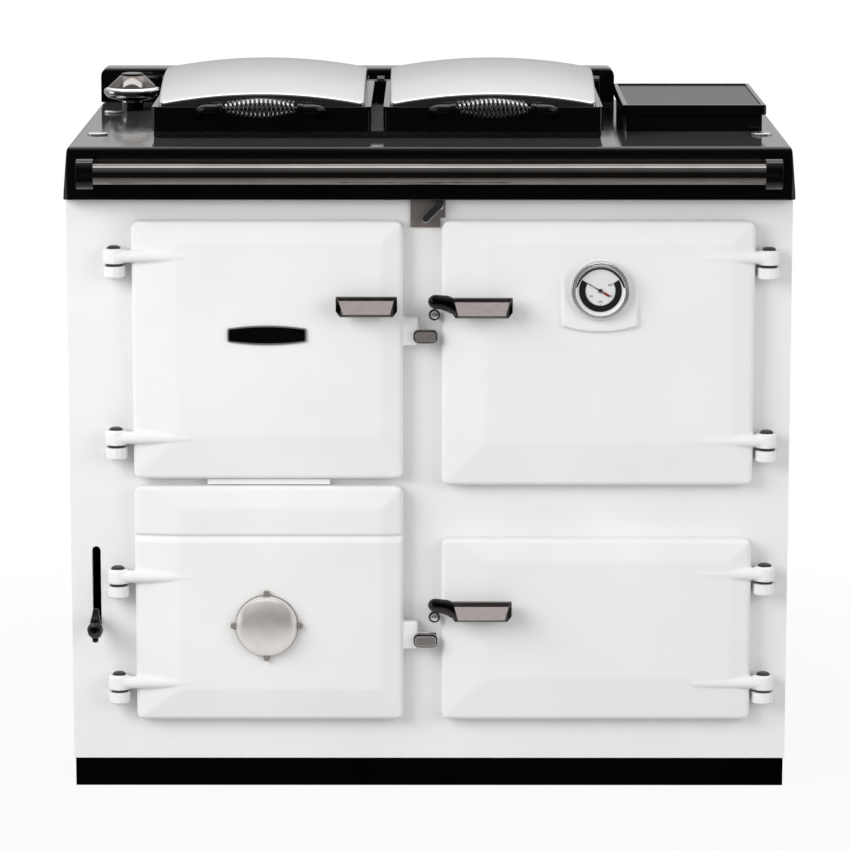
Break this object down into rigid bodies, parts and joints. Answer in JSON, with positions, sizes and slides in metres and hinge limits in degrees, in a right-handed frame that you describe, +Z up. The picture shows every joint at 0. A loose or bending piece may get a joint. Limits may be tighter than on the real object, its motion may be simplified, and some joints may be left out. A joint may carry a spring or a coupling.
{
  "type": "range cooker",
  "caption": "Freestanding enamelled cast iron range cooker with fire, ash and oven doors, domed spring-handled hotplate lids, a flue box and a front towel rail.",
  "frame": {"origin": "middle of the whole cooker's width and depth, on the floor", "axes": "+X to the viewer's right, +Y towards the wall behind, +Z up; the doors face -Y"},
  "size_m": [1.003, 0.764, 0.9983],
  "materials": {
    "white_enamel": "gloss vitreous enamel",
    "black_enamel": "gloss vitreous enamel",
    "chrome": "polished",
    "dark_nickel": "satin dark nickel",
    "cast_iron": "matt",
    "steel": "brushed",
    "glass": "clear"
  },
  "bodies": {
    "root": {"front_plate": "white_enamel", "left_side_panel": "white_enamel", "right_side_panel": "white_enamel", "plinth": "black_enamel", "top_plate": "black_enamel", "rear_upstand": "black_enamel", "rail_bracket_left": "black_enamel", "rail_bracket_right": "black_enamel", "towel_rail": "chrome", "lid_hinge_rod": "chrome", "latch_keeper_upper": "chrome", "latch_keeper_lower": "chrome", "fire_hinge_pin_upper": "dark_nickel", "fire_hinge_pin_lower": "dark_nickel", "ash_hinge_pin_upper": "dark_nickel", "ash_hinge_pin_lower": "dark_nickel", "main_oven_hinge_pin_upper": "dark_nickel", "main_oven_hinge_pin_lower": "dark_nickel", "lower_oven_hinge_pin_upper": "dark_nickel", "lower_oven_hinge_pin_lower": "dark_nickel", "back_panel": "cast_iron", "hotplate": "cast_iron", "hotplate_seal": "cast_iron", "flue_box": "cast_iron", "flue_spigot": "cast_iron", "firebox": "cast_iron", "main_oven_box": "cast_iron", "lower_oven_box": "cast_iron", "damper_plate": "steel", "ash_pan": "steel", "main_oven_shelf": "steel"},
    "fire_door": {"fire_door": "white_enamel", "fire_door_handle": "dark_nickel"},
    "fire_door_latch": {"fire_door_latch": "dark_nickel"},
    "ash_door": {"ash_door": "white_enamel", "spinwheel_spindle": "steel"},
    "ash_door_latch": {"ash_door_latch": "dark_nickel"},
    "spinwheel_collar": {"spinwheel_collar": "steel"},
    "spinwheel": {"spinwheel": "dark_nickel"},
    "main_oven_door": {"main_oven_door": "white_enamel", "main_oven_handle": "dark_nickel", "thermometer_case": "chrome", "thermometer_glass": "glass"},
    "thermometer_pointer": {"thermometer_pointer": "cast_iron"},
    "lower_oven_door": {"lower_oven_door": "white_enamel", "lower_oven_handle": "dark_nickel"},
    "left_lid": {"left_lid_base": "black_enamel", "left_lid_dome": "chrome", "left_lid_handle_bar": "black_enamel", "left_lid_coil": "chrome"},
    "right_lid": {"right_lid_base": "black_enamel", "right_lid_dome": "chrome", "right_lid_handle_bar": "black_enamel", "right_lid_coil": "chrome"},
    "flue_cover": {"flue_cover": "black_enamel"},
    "damper_lever": {"damper_lever": "dark_nickel"},
    "thermostat_dial": {"thermostat_dial": "chrome"},
    "riddling_lever": {"riddling_lever": "cast_iron"},
    "riddling_link": {"riddling_link": "steel"},
    "fire_grate": {"fire_grate": "cast_iron"}
  },
  "joints": [
    {"name": "fire_door_hinge", "type": "hinge", "parent": "root", "child": "fire_door", "pos_m": [-0.433, -0.31328, 0.623], "axis": [0, 0, -1], "range_deg": [0, 120]},
    {"name": "fire_latch_turn", "type": "hinge", "parent": "fire_door", "child": "fire_door_latch", "pos_m": [-0.0054, -0.31278, 0.644], "axis": [0, 1, 0], "range_deg": [0, 90]},
    {"name": "ash_door_hinge", "type": "hinge", "parent": "root", "child": "ash_door", "pos_m": [-0.433, -0.31328, 0.2665], "axis": [0, 0, -1], "range_deg": [0, 110]},
    {"name": "ash_latch_turn", "type": "hinge", "parent": "ash_door", "child": "ash_door_latch", "pos_m": [-0.0054, -0.31278, 0.2157], "axis": [0, 1, 0], "range_deg": [0, 90]},
    {"name": "spinwheel_travel", "type": "slide", "parent": "ash_door", "child": "spinwheel_collar", "axis": [0, -1, 0], "range_m": [0, 0.0091]},
    {"name": "spinwheel_turn", "type": "hinge", "parent": "spinwheel_collar", "child": "spinwheel", "pos_m": [-0.226, -0.32277, 0.2375], "axis": [0, -1, 0], "range_deg": [0, 1080]},
    {"name": "main_oven_door_hinge", "type": "hinge", "parent": "root", "child": "main_oven_door", "pos_m": [0.466, -0.31328, 0.6185], "axis": [0, 0, 1], "range_deg": [0, 120]},
    {"name": "thermometer_pointer_turn", "type": "hinge", "parent": "main_oven_door", "child": "thermometer_pointer", "pos_m": [0.234, -0.33777, 0.7095], "axis": [0, 1, 0], "range_deg": [-60, 210]},
    {"name": "lower_oven_door_hinge", "type": "hinge", "parent": "root", "child": "lower_oven_door", "pos_m": [0.466, -0.31328, 0.22925], "axis": [0, 0, 1], "range_deg": [0, 120]},
    {"name": "left_lid_hinge", "type": "hinge", "parent": "root", "child": "left_lid", "pos_m": [-0.2335, 0.20752, 0.942], "axis": [-1, 0, 0], "range_deg": [0, 95]},
    {"name": "right_lid_hinge", "type": "hinge", "parent": "root", "child": "right_lid", "pos_m": [0.0885, 0.20752, 0.942], "axis": [-1, 0, 0], "range_deg": [0, 95]},
    {"name": "flue_cover_hinge", "type": "hinge", "parent": "root", "child": "flue_cover", "pos_m": [0.3735, 0.20722, 0.936], "axis": [-1, 0, 0], "range_deg": [0, 100]},
    {"name": "damper_turn", "type": "hinge", "parent": "root", "child": "damper_lever", "pos_m": [0.014, -0.31278, 0.824], "axis": [0, 1, 0], "range_deg": [-20, 40]},
    {"name": "thermostat_turn", "type": "hinge", "parent": "root", "child": "thermostat_dial", "pos_m": [-0.44, 0.17752, 0.93], "axis": [0, 0, 1], "range_deg": [0, 270]},
    {"name": "riddling_lever_pivot", "type": "hinge", "parent": "root", "child": "riddling_lever", "pos_m": [-0.464, -0.11878, 0.278], "axis": [-1, 0, 0], "range_deg": [0, 28]},
    {"name": "riddling_link_swing", "type": "hinge", "parent": "riddling_lever", "child": "riddling_link", "pos_m": [-0.431, -0.08878, 0.278], "axis": [-1, 0, 0], "range_deg": [-28.2, 0.2]},
    {"name": "grate_rock", "type": "hinge", "parent": "root", "child": "fire_grate", "pos_m": [-0.2225, -0.11878, 0.438], "axis": [-1, 0, 0], "range_deg": [-0.2, 28.2]}
  ],
  "couplings": [
    {"joint": "spinwheel_travel", "follows": "spinwheel_turn", "m_per_rad": 0.00047746},
    {"joint": "grate_rock", "follows": "riddling_lever_pivot", "ratio": 1},
    {"joint": "riddling_link_swing", "follows": "riddling_lever_pivot", "ratio": -1}
  ]
}
